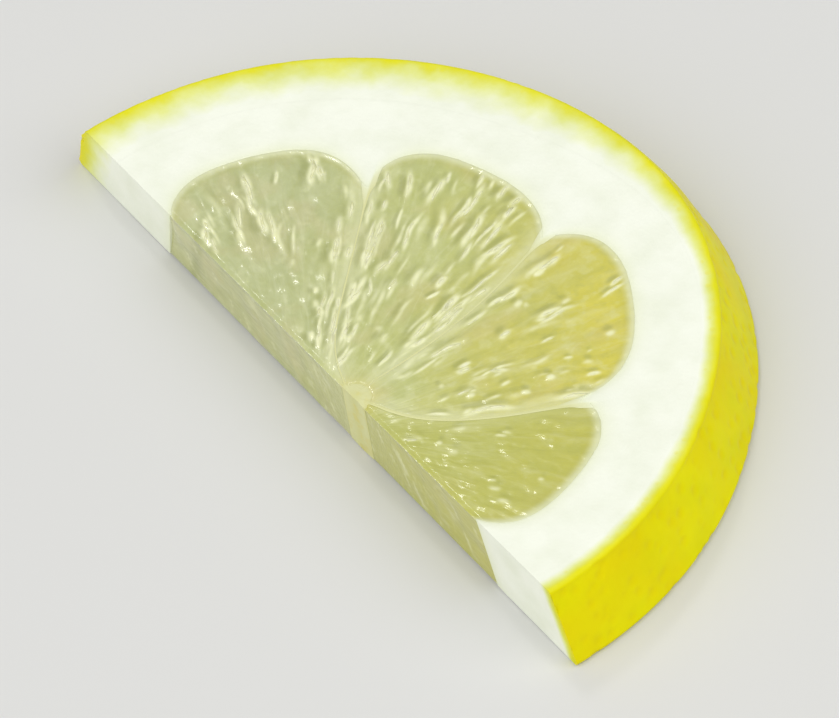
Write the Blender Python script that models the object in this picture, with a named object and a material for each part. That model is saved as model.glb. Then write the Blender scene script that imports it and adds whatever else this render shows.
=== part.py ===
"""A half slice of lemon, as a knife leaves it, lying on its lower cut face.

The slice is one solid. The fruit is a spheroid: two level cuts above its widest place give the slice its
thickness and its slanting rind, and one upright cut through the middle gives the half round. On every
cut face the flesh stands a little below the white pith. Thin membranes that meet at the core part it into
segments with rounded outer ends, and its juice sacs are low ridges that point at the core.

Sizes are in metres. X runs along the upright cut, Y from that cut towards the rind, and Z is up. The
origin is the middle of the bottom of the slice's bounding box.
"""

import math

import bmesh
import bpy
from mathutils import Vector, noise

MM = 0.001

# The fruit, and where it was cut
FRUIT_RADIUS = 33.5 * MM
FRUIT_HALF_LENGTH = 37.0 * MM
LOWER_CUT_HEIGHT = 11.7 * MM  # above the fruit's widest place
THICKNESS = 5.6 * MM
WEDGE_SLOPE = 0.013  # the slice gets thicker towards +X, as a hand cuts it
OUTLINE_UNEVENNESS = 0.35 * MM
RIND_EDGE_ROUNDING = 0.35 * MM

# The core, beside the upright cut, and the flesh that starts round it
CORE_X = 5.8 * MM
CORE_RADIUS = 1.6 * MM
FLESH_TIP_RADIUS = 2.2 * MM

# Each membrane: its angle about the core where it meets the pith, in degrees, how far from the fruit's
# axis that is, as a share of the slice's radius, and how far its straight line passes beside the core. It
# bends in to the core at the last. The first and the last membrane lie just beyond the upright cut.
MEMBRANES = (
    (-3.0, 0.65, 0.0),
    (48.5, 0.70, 3.3 * MM),
    (100.5, 0.65, 0.2 * MM),
    (143.0, 0.555, -3.4 * MM),
    (183.0, 0.54, 0.0),
)
MEMBRANE_LENGTH = 19.0 * MM
MEMBRANE_BEND_RADIUS = 6.0 * MM
# How far each segment between them reaches, as a share of the slice's radius
SEGMENT_REACHES = (0.792, 0.792, 0.708, 0.688)
LOBE_ROUNDNESS = 3.8  # power of the curve from a segment's middle to its corners

# Relief of the cut faces, below the level of the pith
MEMBRANE_HALF_WIDTH = 0.22 * MM
MEMBRANE_DROP = 0.05 * MM
FLESH_DROP = 0.24 * MM
SAC_RELIEF = 0.11 * MM
SAC_START = 0.30  # the ridges begin at this share of the way from the core to the pith
SAC_END = 0.90  # and flatten beyond this share
LUMP_RELIEF = 0.09 * MM
LUMP_SIZE = 1.9 * MM
CUT_WALL_DROP = 0.18 * MM
RIND_RELIEF = 0.10 * MM
RIND_BUMP_SIZE = 3.5 * MM

# How finely the surface is divided
SACS_PER_SEGMENT = (10, 10, 10, 9)
FLESH_SHARES = (0.07, 0.15, 0.23, 0.31, 0.38, 0.45, 0.52, 0.59, 0.66, 0.73, 0.80, 0.87, 0.93, 0.98)
PITH_SHARES = (0.03, 0.30, 0.62, 0.92)  # rows from the flesh to the rind's rounded edge
WALL_ROWS = 6

YELLOW = (0.91, 0.80, 0.03, 1.0)


def clear_scene():
    for old in list(bpy.data.objects):
        bpy.data.objects.remove(old)


def slice_radius(angle, height):
    """The rind's distance from the fruit's axis, at a height above the lower face."""
    along = (LOWER_CUT_HEIGHT + height) / FRUIT_HALF_LENGTH
    uneven = 0.5 * (math.cos(angle) - 1.0) + 0.35 * math.sin(5.0 * angle)
    return FRUIT_RADIUS * math.sqrt(1.0 - along * along) + OUTLINE_UNEVENNESS * uneven


def thickness_at(x):
    return THICKNESS + WEDGE_SLOPE * x


def from_core(angle, radius):
    """How far a ray from the core runs before it is a given radius from the fruit's axis."""
    across = CORE_X * math.sin(angle)
    return math.sqrt(radius * radius - across * across) - CORE_X * math.cos(angle)


def membrane_angle(number, radius):
    """A membrane's angle about the core at a radius; the first and the last are the upright cut itself."""
    degrees, _, aside = MEMBRANES[number]
    straight = math.radians(min(max(degrees, 0.0), 180.0))
    near = math.asin(aside / max(radius, MEMBRANE_BEND_RADIUS))
    return straight + math.asin(aside / MEMBRANE_LENGTH) - near


def flesh_radius(angle, segment):
    """A segment's rounded outer end, as a share of the slice's radius."""
    low, low_notch, _ = MEMBRANES[segment]
    high, high_notch, _ = MEMBRANES[segment + 1]
    across = (2.0 * math.degrees(angle) - low - high) / (high - low)
    notch = high_notch if across > 0.0 else low_notch
    reach = SEGMENT_REACHES[segment]
    return reach - (reach - notch) * min(abs(across), 1.0) ** LOBE_ROUNDNESS


def make_columns():
    """The rays from the core that the cut faces are built on, as (segment, share across it, number).

    The number is -1 on a membrane's ridge. Otherwise it counts the rays of a segment: the odd ones run
    along the crests of sacs and the even ones in the grooves between them.
    """
    columns = []
    last = len(SACS_PER_SEGMENT) - 1
    for segment, sacs in enumerate(SACS_PER_SEGMENT):
        rays = 2 * sacs
        columns += [(segment, ray / rays, ray) for ray in range(rays + 1)]
        if segment < last:
            columns.append((segment, 1.0, -1))
    return columns


def make_rows():
    """The rings round the core, from the core outwards, as (zone, share of that zone)."""
    core = [("core", 0.0), ("core", 1.0)]
    flesh = [("flesh", share) for share in (0.0, *FLESH_SHARES, 1.0)]
    pith = [("pith", share) for share in PITH_SHARES]
    edge = [("edge", math.sin(math.radians(turn))) for turn in (0.0, 30.0, 60.0, 90.0)]
    return core + flesh + pith + edge


def ray_angle(column, radius):
    """A ray keeps clear of the membranes, so near the core it bends towards its segment's middle."""
    segment, share, number = column
    low, high = membrane_angle(segment, radius), membrane_angle(segment + 1, radius)
    if number < 0:
        return high
    clear = MEMBRANE_HALF_WIDTH / max(radius, CORE_RADIUS)
    low_clear = clear if segment > 0 else 0.0
    high_clear = clear if segment < len(SEGMENT_REACHES) - 1 else 0.0
    return low + low_clear + (high - low - low_clear - high_clear) * share


def crossing(column, outline):
    """How far from the core a ray crosses an outline, found step by step because the ray is bent."""
    radius = 0.6 * FRUIT_RADIUS
    for _ in range(8):
        radius = outline(ray_angle(column, radius))
    return radius


def row_radius(column, row, height):
    """How far from the core a row crosses a ray, on a face at a height above the lower one."""
    zone, part = row
    flesh_end = crossing(
        column, lambda angle: from_core(angle, slice_radius(angle, height) * flesh_radius(angle, column[0]))
    )
    edge_start = crossing(
        column, lambda angle: from_core(angle, slice_radius(angle, height) - RIND_EDGE_ROUNDING)
    )
    rim = crossing(column, lambda angle: from_core(angle, slice_radius(angle, height)))
    spans = {
        "core": (0.0, CORE_RADIUS),
        "flesh": (FLESH_TIP_RADIUS, flesh_end),
        "pith": (flesh_end, edge_start),
        "edge": (edge_start, rim),
    }
    start, end = spans[zone]
    return start + (end - start) * part


def face_drop(column, row, x, y, layer):
    """How far a point of a cut face lies below the level of the pith."""
    zone, part = row
    if zone == "edge":
        return RIND_EDGE_ROUNDING * (1.0 - math.sqrt(max(1.0 - part * part, 0.0)))
    if zone != "flesh" or part in (0.0, 1.0):
        return 0.0
    if column[2] < 0:
        return MEMBRANE_DROP
    crest = 1.0 if column[2] % 2 else -1.0
    swell = 1.0 + noise.noise(Vector((x, y, layer)) / (3.0 * MM))
    long_sacs = max(min((part - SAC_START) / 0.3, 1.0, 1.0 - 0.7 * (part - SAC_END) / 0.1), 0.0)
    lumps = noise.noise(Vector((x, y, layer + 9.0 * MM)) / LUMP_SIZE)
    return FLESH_DROP - SAC_RELIEF * crest * swell * long_sacs - LUMP_RELIEF * lumps


def face_point(column, row, upper):
    """A point of the upper or of the lower cut face."""
    layer = THICKNESS if upper else 0.0
    radius = row_radius(column, row, layer)
    angle = ray_angle(column, radius)
    x = CORE_X + radius * math.cos(angle)
    y = radius * math.sin(angle)
    drop = face_drop(column, row, x, y, 8.0 * layer)
    return Vector((x, y, thickness_at(x) - drop if upper else drop))


def rind_point(column, share):
    """A point of the rind: share 0 is on the lower cut face's outer edge, and 1 on the upper one's."""
    bottom = face_point(column, ROWS[-1], False)
    top = face_point(column, ROWS[-1], True)
    height = bottom.z + (top.z - bottom.z) * share
    radius = crossing(column, lambda angle: from_core(angle, slice_radius(angle, height)))
    angle = ray_angle(column, radius)
    curved = Vector((CORE_X + radius * math.cos(angle), radius * math.sin(angle), height))
    bulge = math.sin(math.pi * share)
    curved += curved.normalized() * RIND_RELIEF * bulge * noise.noise(curved / RIND_BUMP_SIZE)
    point = bottom.lerp(top, share).lerp(curved, min(2.0 * bulge, 1.0))
    if column in (COLUMNS[0], COLUMNS[-1]):
        point.y = 0.0
    return point


def cut_point(place, share):
    """A point of the upright cut, where place counts from the rind at +X over the core to the other."""
    last = len(ROWS) - 1
    column = COLUMNS[0] if place <= last else COLUMNS[-1]
    row = ROWS[abs(place - last)]
    if row == ROWS[-1]:
        return rind_point(column, share)
    point = face_point(column, row, False).lerp(face_point(column, row, True), share)
    point.y = 0.0
    if row[0] == "flesh" and 0.0 < row[1] < 1.0:
        lumps = noise.noise(Vector((point.x, 7.0 * MM, point.z)) / LUMP_SIZE)
        point.y = CUT_WALL_DROP * math.sqrt(math.sin(math.pi * share)) * (1.0 + 0.6 * lumps)
    return point


def add_grid(bm, wide, deep, place):
    """A sheet of wide by deep quads, with each corner put where the function place says."""
    corners = [[bm.verts.new(place(i, j)) for j in range(deep + 1)] for i in range(wide + 1)]
    for i in range(wide):
        for j in range(deep):
            bm.faces.new((corners[i][j], corners[i + 1][j], corners[i + 1][j + 1], corners[i][j + 1]))


def lemon_material():
    material = bpy.data.materials.new("lemon")
    material.use_nodes = True
    shader = material.node_tree.nodes["Principled BSDF"]
    shader.inputs["Base Color"].default_value = YELLOW
    shader.inputs["Roughness"].default_value = 0.35
    shader.inputs["Metallic"].default_value = 0.0
    return material


def make_slice():
    bm = bmesh.new()
    wide = len(COLUMNS) - 1
    deep = len(ROWS) - 1
    add_grid(bm, wide, deep, lambda i, j: face_point(COLUMNS[i], ROWS[j], True))
    add_grid(bm, wide, deep, lambda i, j: face_point(COLUMNS[i], ROWS[j], False))
    add_grid(bm, wide, WALL_ROWS, lambda i, j: rind_point(COLUMNS[i], j / WALL_ROWS))
    add_grid(bm, 2 * deep, WALL_ROWS, lambda i, j: cut_point(i, j / WALL_ROWS))
    bmesh.ops.remove_doubles(bm, verts=bm.verts, dist=0.001 * MM)
    bmesh.ops.recalc_face_normals(bm, faces=bm.faces)

    low = [min(v.co[axis] for v in bm.verts) for axis in range(3)]
    high = [max(v.co[axis] for v in bm.verts) for axis in range(3)]
    middle = Vector(((low[0] + high[0]) / 2.0, (low[1] + high[1]) / 2.0, low[2]))
    bmesh.ops.translate(bm, verts=bm.verts, vec=-middle)

    mesh = bpy.data.meshes.new("lemon_slice")
    bm.to_mesh(mesh)
    bm.free()
    mesh.materials.append(lemon_material())
    mesh.shade_smooth()
    mesh.set_sharp_from_angle(angle=math.radians(35.0))
    lemon_slice = bpy.data.objects.new("lemon_slice", mesh)
    bpy.context.scene.collection.objects.link(lemon_slice)


COLUMNS = make_columns()
ROWS = make_rows()
clear_scene()
make_slice()
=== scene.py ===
"""The half slice of lemon, dressed: white pith, yellow rind and four wet segments of juice sacs."""

import math

import bmesh
import bpy
import numpy as np
from mathutils import Matrix, Vector


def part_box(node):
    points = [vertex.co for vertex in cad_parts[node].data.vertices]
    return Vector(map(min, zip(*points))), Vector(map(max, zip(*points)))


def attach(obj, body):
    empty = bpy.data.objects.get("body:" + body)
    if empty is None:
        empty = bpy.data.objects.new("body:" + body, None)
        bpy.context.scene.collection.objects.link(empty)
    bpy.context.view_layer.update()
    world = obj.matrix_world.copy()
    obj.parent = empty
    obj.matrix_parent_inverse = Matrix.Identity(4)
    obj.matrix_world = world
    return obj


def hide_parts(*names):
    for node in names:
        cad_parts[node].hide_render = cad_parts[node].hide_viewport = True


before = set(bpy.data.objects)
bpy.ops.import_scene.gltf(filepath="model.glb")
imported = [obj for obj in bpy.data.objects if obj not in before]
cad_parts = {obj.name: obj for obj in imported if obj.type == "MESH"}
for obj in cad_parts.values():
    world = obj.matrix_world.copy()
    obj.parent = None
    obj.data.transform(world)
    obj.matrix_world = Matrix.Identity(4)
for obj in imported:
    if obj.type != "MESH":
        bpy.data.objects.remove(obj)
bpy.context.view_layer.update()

# Camera. It looks down at the slice from beyond the right end of its upright cut, leaning a little to one
# side, from arm's length.
VIEW_AZIMUTH = math.radians(62.5)
VIEW_ELEVATION = math.radians(47.8)
VIEW_LEAN = math.radians(10.2)
VIEW_DISTANCE = 0.45
VIEW_CENTRE = Vector((0.0037, -0.0091, 0.003))
SENSOR_WIDTH = 36.0  # in millimetres, as the focal length is
FOCAL_LENGTH = 272.0

away = Vector((
    math.sin(VIEW_AZIMUTH) * math.cos(VIEW_ELEVATION),
    -math.cos(VIEW_AZIMUTH) * math.cos(VIEW_ELEVATION),
    math.sin(VIEW_ELEVATION),
))
camera = bpy.data.objects.new("camera", bpy.data.cameras.new("camera"))
bpy.context.scene.collection.objects.link(camera)
camera.data.sensor_width = SENSOR_WIDTH
camera.data.lens = FOCAL_LENGTH
camera.data.clip_start = 0.01
camera.rotation_mode = "QUATERNION"
turned = away.to_track_quat("Z", "Y").to_matrix() @ Matrix.Rotation(-VIEW_LEAN, 3, "Z")
camera.rotation_quaternion = turned.to_quaternion()
camera.location = VIEW_CENTRE + away * VIEW_DISTANCE
bpy.context.scene.camera = camera
bpy.context.scene.view_settings.view_transform = "Standard"

# Studio. A lamp overhead lights the cut face, a small one behind the slice puts the glints on its wet flesh,
# a broad one lights the rind, and a very broad soft box in front lights the upright cut. The pale room fills
# the shadows. Each lamp has its place and its width in metres, and its power in watts.
ROOM_COLOUR = (1.0, 1.0, 0.985, 1.0)
ROOM_STRENGTH = 0.38
for name, place, size, power in (
    ("overhead lamp", (-0.30, -0.25, 0.95), 0.60, 0.7),
    ("glint lamp", (-0.60, 0.14, 0.80), 0.12, 0.85),
    ("rind lamp", (0.55, 0.37, 0.66), 0.90, 3.9),
    ("cut lamp", (0.12, -0.85, 0.75), 1.60, 7.6),
):
    lamp = bpy.data.objects.new(name, bpy.data.lights.new(name, "AREA"))
    lamp.data.shape = "DISK"
    lamp.data.size = size
    lamp.data.energy = power
    lamp.location = place
    lamp.rotation_euler = Vector(place).to_track_quat("Z", "Y").to_euler()
    bpy.context.scene.collection.objects.link(lamp)
room = bpy.data.worlds.new("pale room")
room.use_nodes = True
room.node_tree.nodes["Background"].inputs["Color"].default_value = ROOM_COLOUR
room.node_tree.nodes["Background"].inputs["Strength"].default_value = ROOM_STRENGTH
bpy.context.scene.world = room

# Table. A plain pale matt sheet that the slice lies on.
TABLE_HALF = 1.5
TABLE_LEVEL = -0.00005


def linear(code):
    """An sRGB hex colour as linear RGBA."""
    parts = [int(code[i:i + 2], 16) / 255.0 for i in (1, 3, 5)]
    return tuple(p / 12.92 if p <= 0.04045 else ((p + 0.055) / 1.055) ** 2.4 for p in parts) + (1.0,)


table_corners = [
    (TABLE_HALF * x, TABLE_HALF * y, TABLE_LEVEL) for x, y in ((-1, -1), (1, -1), (1, 1), (-1, 1))
]
table_mesh = bpy.data.meshes.new("table")
table_mesh.from_pydata(table_corners, [], [(0, 1, 2, 3)])
table = bpy.data.objects.new("table", table_mesh)
bpy.context.scene.collection.objects.link(table)
matt_sheet = bpy.data.materials.new("matt_sheet")
matt_sheet.use_nodes = True
sheet_shader = matt_sheet.node_tree.nodes["Principled BSDF"]
sheet_shader.inputs["Base Color"].default_value = linear("#DCDCDA")
sheet_shader.inputs["Roughness"].default_value = 0.7
table_mesh.materials.append(matt_sheet)

# Pith. The white, spongy albedo under the rind, with the thin membranes that run from it to the core
# between the segments. It is one closed body with hollows where the segments' flesh lies, on both level
# faces and along the upright cut. Lengths are in millimetres until a mesh is made.
FRUIT_RADIUS = 33.5  # of the whole lemon, at its middle
FRUIT_HALF_LENGTH = 37.0
LOWER_CUT_HEIGHT = 11.7  # from the lemon's middle to the slice's lower face
THICKNESS = 5.6  # at the middle of the upright cut
WEDGE_SLOPE = 0.013
OUTLINE_UNEVENNESS = 0.35
OUTLINE_SWELLS = 5.0  # in a full turn
CORE_X = 5.8  # how far the core lies from the lemon's axis, along the upright cut
CORE_RADIUS = 1.0
FLESH_TIP = 1.4  # how far from the core's middle the segments start
MEMBRANE_DEGREES = np.array([-3.0, 48.5, 100.5, 143.0, 183.0])  # about the core, where each meets the pith
MEMBRANE_ENDS = np.array([0.65, 0.70, 0.65, 0.555, 0.54])  # shares of the slice's radius
MEMBRANES_ASIDE = (0.0, 3.3, 0.2, -3.4, 0.0)  # how far the line of each passes beside the core
MEMBRANE_BENDS = (0.0, -0.5, -0.8, -0.3, 0.0)  # how far each bows sideways halfway
MEMBRANE_LENGTH = 19.0
MEMBRANE_BEND_RADIUS = 6.0  # nearer than this, they bend in to the core
MEMBRANE_BOW_START = 2.0  # how far from the core they start to bow
SEGMENT_REACHES = (0.792, 0.792, 0.708, 0.688)  # shares of the slice's radius, halfway across each
LOBE_ROUNDNESS = 3.8
HALF_MEMBRANES = (0.0, 0.17, 0.09, 0.09, 0.0)  # half of each one's thickness
NOTCH_SPREAD = 0.45  # how much wider a membrane gets, on each side, where it grows into the pith
NOTCH_REACH = 0.8
MEMBRANE_DROP = 0.05
MEMBRANE_FADE = 0.8
HOLLOW = 0.9
HOLLOW_EDGE = 0.30
NARROW_SEGMENT = 1.2  # where a segment is narrower, the rays beside its membranes close up
RING_WIDTH = 1.4
RING_WIDENING = 3.0
RING_WIDENS = (70.0, 132.0)  # degrees about the core, from where to where the yellow ring widens
EDGE_ROLL = 0.05
EDGE_ROLL_WIDTH = 0.9
TEARS = ((1.3, 0.014, 3), (0.42, 0.008, 5))  # sizes and heights of the sponge's torn relief, with seeds
TEARS_FADE = 1.5
UNDER_RIND = 0.03
DAMP_WIDTH = 0.55
CORE_STAIN = 2.6
PITH_WALLS = 8
FAR = 9.0  # stands for any distance too great to matter


def smooth(t):
    """0 up to t = 0, 1 from t = 1, and a soft step between."""
    t = np.clip(t, 0.0, 1.0)
    return t * t * (3.0 - 2.0 * t)


def waves(x, y, size, seed):
    """Smooth random heights from -1 to 1, with hills about a size apart."""
    table_of_values = np.random.default_rng(seed).uniform(-1.0, 1.0, (64, 64))
    x, y = x / size + 1000.37, y / size + 1000.71
    i, j = np.floor(x).astype(int), np.floor(y).astype(int)
    u, v = x - i, y - j
    u, v = u * u * u * (u * (u * 6 - 15) + 10), v * v * v * (v * (v * 6 - 15) + 10)
    i0, i1, j0, j1 = i % 64, (i + 1) % 64, j % 64, (j + 1) % 64
    low = table_of_values[i0, j0] * (1 - u) + table_of_values[i1, j0] * u
    high = table_of_values[i0, j1] * (1 - u) + table_of_values[i1, j1] * u
    return low * (1 - v) + high * v


def slice_radius(angle, height):
    """The skin's distance from the fruit's axis, at a height above the lower face."""
    along = (LOWER_CUT_HEIGHT + height) / FRUIT_HALF_LENGTH
    uneven = 0.5 * (np.cos(angle) - 1.0) + 0.35 * np.sin(OUTLINE_SWELLS * angle)
    return FRUIT_RADIUS * np.sqrt(1.0 - along * along) + OUTLINE_UNEVENNESS * uneven


def thickness_at(x):
    """The slice's thickness, which tapers a little along the upright cut."""
    return THICKNESS + WEDGE_SLOPE * x


def from_core(angle, radius):
    """How far a ray from the core runs before it is a given radius from the fruit's axis."""
    across = CORE_X * np.sin(angle)
    return np.sqrt(radius * radius - across * across) - CORE_X * np.cos(angle)


def flesh_end(angle, segment, height):
    """How far from the core a segment's rounded outer end is, along a ray."""
    low, high = MEMBRANE_DEGREES[segment], MEMBRANE_DEGREES[segment + 1]
    across = (2.0 * np.degrees(angle) - low - high) / (high - low)
    notch = np.where(across > 0.0, MEMBRANE_ENDS[segment + 1], MEMBRANE_ENDS[segment])
    reach = SEGMENT_REACHES[segment]
    share = reach - (reach - notch) * np.minimum(np.abs(across), 1.0) ** LOBE_ROUNDNESS
    return from_core(angle, slice_radius(angle, height) * share)


def membrane_end(number):
    """A membrane's straight angle about the core, and how far from the core it grows into the pith."""
    angle = math.radians(min(max(MEMBRANE_DEGREES[number], 0.0), 180.0))
    return angle, float(from_core(angle, slice_radius(angle, THICKNESS) * MEMBRANE_ENDS[number]))


def membrane_angle(number, radius):
    """A membrane's angle about the core at a radius; the first and last are the upright cut itself."""
    straight, end = membrane_end(number)
    aside = MEMBRANES_ASIDE[number]
    near = np.arcsin(aside / np.cbrt(radius ** 3 + MEMBRANE_BEND_RADIUS ** 3))
    bow = np.clip((radius - MEMBRANE_BOW_START) / (end - MEMBRANE_BOW_START), 0.0, 1.0)
    bow = MEMBRANE_BENDS[number] * np.sin(np.pi * bow) / np.maximum(radius, CORE_RADIUS)
    return straight + math.asin(aside / MEMBRANE_LENGTH) - near + bow


def membrane_half(number, radius):
    """Half of a membrane's thickness at a radius; the first and last are the upright cut, with none."""
    if number in (0, 4):
        return np.zeros_like(radius)
    into_pith = np.exp(-np.maximum(membrane_end(number)[1] - radius, 0.0) / NOTCH_REACH)
    return HALF_MEMBRANES[number] + NOTCH_SPREAD * into_pith


def ring_width(angle):
    """How wide the yellow ring on a level face is: the knife met the rind at a slant on the far side."""
    start, stop = RING_WIDENS
    return RING_WIDTH + RING_WIDENING * smooth((np.degrees(angle) - start) / (stop - start))


def closed_grid(top, bottom, walls):
    """One closed mesh from two like grids of points, joined all round by walls of some rows.

    top and bottom are arrays of columns by rows by xyz. Returns points and faces. The wall rows are put
    evenly between the grids' edges, and their indices come back as an array of rim points by wall rows.
    """
    wide, deep = top.shape[:2]
    upper = np.arange(wide * deep).reshape(wide, deep)
    lower = upper + wide * deep
    rim = [(i, 0) for i in range(wide)] + [(wide - 1, j) for j in range(1, deep)]
    rim += [(i, deep - 1) for i in range(wide - 2, -1, -1)] + [(0, j) for j in range(deep - 2, 0, -1)]
    rim = np.array(rim)
    up_edge, low_edge = top[rim[:, 0], rim[:, 1]], bottom[rim[:, 0], rim[:, 1]]
    shares = np.arange(1, walls) / walls
    between = up_edge[:, None] + (low_edge - up_edge)[:, None] * shares[None, :, None]
    inner = 2 * wide * deep + np.arange(len(rim) * (walls - 1)).reshape(len(rim), walls - 1)
    wall = np.column_stack([upper[rim[:, 0], rim[:, 1]], inner, lower[rim[:, 0], rim[:, 1]]])
    quads = []
    for sheet, flip in ((upper, False), (lower, True), (np.vstack([wall, wall[:1]]), False)):
        corners = [sheet[:-1, :-1], sheet[1:, :-1], sheet[1:, 1:], sheet[:-1, 1:]]
        quads.append(np.stack([c.ravel() for c in (corners[::-1] if flip else corners)], axis=1))
    points = np.vstack([top.reshape(-1, 3), bottom.reshape(-1, 3), between.reshape(-1, 3)])
    return points, np.vstack(quads), wall


def spread_values(top_values, bottom_values, count, wall_grid):
    """The values of two like grids, carried over the walls between them, one number for each point."""
    both = np.concatenate([top_values.ravel(), bottom_values.ravel()])
    every = np.concatenate([both, np.zeros(count - len(both))])
    share = np.linspace(0.0, 1.0, wall_grid.shape[1])[None, 1:-1]
    every[wall_grid[:, 1:-1]] = both[wall_grid[:, :1]] * (1.0 - share) + both[wall_grid[:, -1:]] * share
    return every


def make_piece(name, points, faces, material, values, crease=40.0):
    """A finished piece from points in the slice's own plan, in millimetres, as an object of the frame."""
    mesh = bpy.data.meshes.new(name)
    mesh.from_pydata((points * 0.001 + np.array(PLAN_SHIFT)).tolist(), [], faces.tolist())
    for key, numbers in values.items():
        layer = mesh.attributes.new(key, "FLOAT", "POINT")
        layer.data.foreach_set("value", np.asarray(numbers, np.float32).ravel())
    bm = bmesh.new()
    bm.from_mesh(mesh)
    bmesh.ops.remove_doubles(bm, verts=bm.verts, dist=2e-7)
    bmesh.ops.recalc_face_normals(bm, faces=bm.faces)
    bm.to_mesh(mesh)
    bm.free()
    mesh.shade_smooth()
    mesh.set_sharp_from_angle(angle=math.radians(crease))
    mesh.materials.append(material)
    piece = bpy.data.objects.new(name, mesh)
    bpy.context.scene.collection.objects.link(piece)
    return piece


slice_low, slice_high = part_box("lemon_slice")
PLAN_SHIFT = (slice_high[0] - 0.001 * float(slice_radius(0.0, 0.0)), slice_low[1], slice_low[2])

# The rays that the pith is built on: each is (kind, segment or membrane, number). The number is how far
# the ray keeps from the membrane, the share of the way across the segment, or the share across the ridge.
RAYS_BESIDE = np.array([0.0, 0.05, 0.11, 0.17, 0.23, HOLLOW_EDGE])
RAYS_ACROSS = 132
RAYS_ON_RIDGE = 7
pith_rays = []
for k in range(4):
    first, last = k == 0, k == 3
    pith_rays += [("low", k, offset) for offset in (RAYS_BESIDE if first else RAYS_BESIDE[1:])]
    pith_rays += [("mid", k, share) for share in np.linspace(0.0, 1.0, RAYS_ACROSS)[1:-1]]
    pith_rays += [("high", k, offset) for offset in (RAYS_BESIDE[::-1] if last else RAYS_BESIDE[:0:-1])]
    if not last:
        pith_rays += [("ridge", k + 1, share) for share in np.linspace(-1.0, 1.0, RAYS_ON_RIDGE)]


def ray_side(ray, radius, inset):
    """A ray's angle about the core, at radii that may be an array, and its distance from a hollow's side."""
    kind, k, number = ray
    wide = np.maximum(radius, CORE_RADIUS)
    beside = np.full_like(radius, FAR if (kind, k) in (("low", 0), ("high", 3)) else number)
    if kind == "ridge":
        return membrane_angle(k, radius) + number * membrane_half(k, radius) / wide, np.zeros_like(radius)
    low = membrane_angle(k, radius) + membrane_half(k, radius) / wide
    high = membrane_angle(k + 1, radius) - membrane_half(k + 1, radius) / wide
    cut_in = np.minimum(inset, 0.4 * (high - low) * wide)
    low, high = low + (cut_in / wide if k == 0 else 0.0), high - (cut_in / wide if k == 3 else 0.0)
    tight = np.clip((high - low) * wide / NARROW_SEGMENT, 0.01, 1.0)
    if kind == "low":
        return low + number * tight / wide, beside
    if kind == "high":
        return high - number * tight / wide, beside
    edge = HOLLOW_EDGE * tight / wide
    return low + edge + (high - low - 2.0 * edge) * number, np.full_like(radius, FAR)


def pith_face(upper):
    """The points of one level face of the pith, and the values that its material reads there."""
    height = THICKNESS if upper else 0.0
    places, skins, damps, cores = [], [], [], []
    for ray in pith_rays:
        k = ray[1] - (1 if ray[0] == "ridge" and ray[2] < 0 else 0)
        # the ray bends, so where it meets the flesh's end and the yellow ring is found in a few rounds
        end, ring = 18.0, 25.0
        for _ in range(8):
            end = float(flesh_end(float(ray_side(ray, np.array([end]), 0.0)[0][0]), k, height))
            outer = float(ray_side(ray, np.array([ring]), 0.0)[0][0])
            ring = float(from_core(outer, slice_radius(outer, height) - ring_width(outer)))
        radius = np.concatenate([
            [0.0, 0.5 * CORE_RADIUS, CORE_RADIUS],
            FLESH_TIP + np.array([0.0, 0.1, 0.2, HOLLOW_EDGE]),
            np.linspace(FLESH_TIP + HOLLOW_EDGE, end - HOLLOW_EDGE, 12)[1:],
            end - np.array([0.24, 0.18, 0.12, 0.06, 0.0]),
            np.linspace(end, ring, 30)[1:],
            [ring + 0.12],
        ])
        inset = HOLLOW * smooth((end - radius) / HOLLOW_EDGE) * smooth((radius - FLESH_TIP) / HOLLOW_EDGE)
        angle, side = ray_side(ray, radius, inset)
        hollow = inset * (smooth(side / HOLLOW_EDGE) if ray[0] != "ridge" else 0.0)
        in_flesh = smooth((end - radius) / MEMBRANE_FADE)
        in_flesh = in_flesh * smooth((radius - 0.6 * CORE_RADIUS) / MEMBRANE_FADE)
        ridge = in_flesh * MEMBRANE_DROP * (1.0 + (0.5 * ray[2] ** 2 if ray[0] == "ridge" else 0.5))
        x = CORE_X + radius * np.cos(angle)
        y = radius * np.sin(angle)
        # a knife leaves the sponge level but a little torn, and it rolls softly into each hollow
        torn = sum(deep * (1.0 + waves(x, y, size, seed + upper)) for size, deep, seed in TEARS)
        roll = EDGE_ROLL * smooth(1.0 - (radius - end) / EDGE_ROLL_WIDTH) * (radius >= end)
        # the last row lies a hair under the rind's inner edge, so that no gap shows between the two
        under = UNDER_RIND * (radius > ring + 0.05)
        y = y + (under if abs(math.sin(angle[-1])) < 1e-9 else 0.0)
        drop = np.maximum(hollow, ridge) + torn * smooth((ring - radius) / TEARS_FADE) + roll + under
        places.append(np.stack([x, y, thickness_at(x) - drop if upper else drop], axis=1))
        skins.append(in_flesh)
        damps.append(np.exp(-np.maximum(radius - end, 0.0) / DAMP_WIDTH))
        cores.append(smooth(1.0 - radius / CORE_STAIN))
    return np.array(places), {"membrane": np.array(skins), "damp": np.array(damps), "core": np.array(cores)}


pith_top, top_values = pith_face(True)
pith_bottom, bottom_values = pith_face(False)
pith_points, pith_faces, pith_walls = closed_grid(pith_top, pith_bottom, PITH_WALLS)
pith_values = {
    key: spread_values(values, bottom_values[key], len(pith_points), pith_walls)
    for key, values in top_values.items()
}


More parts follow.
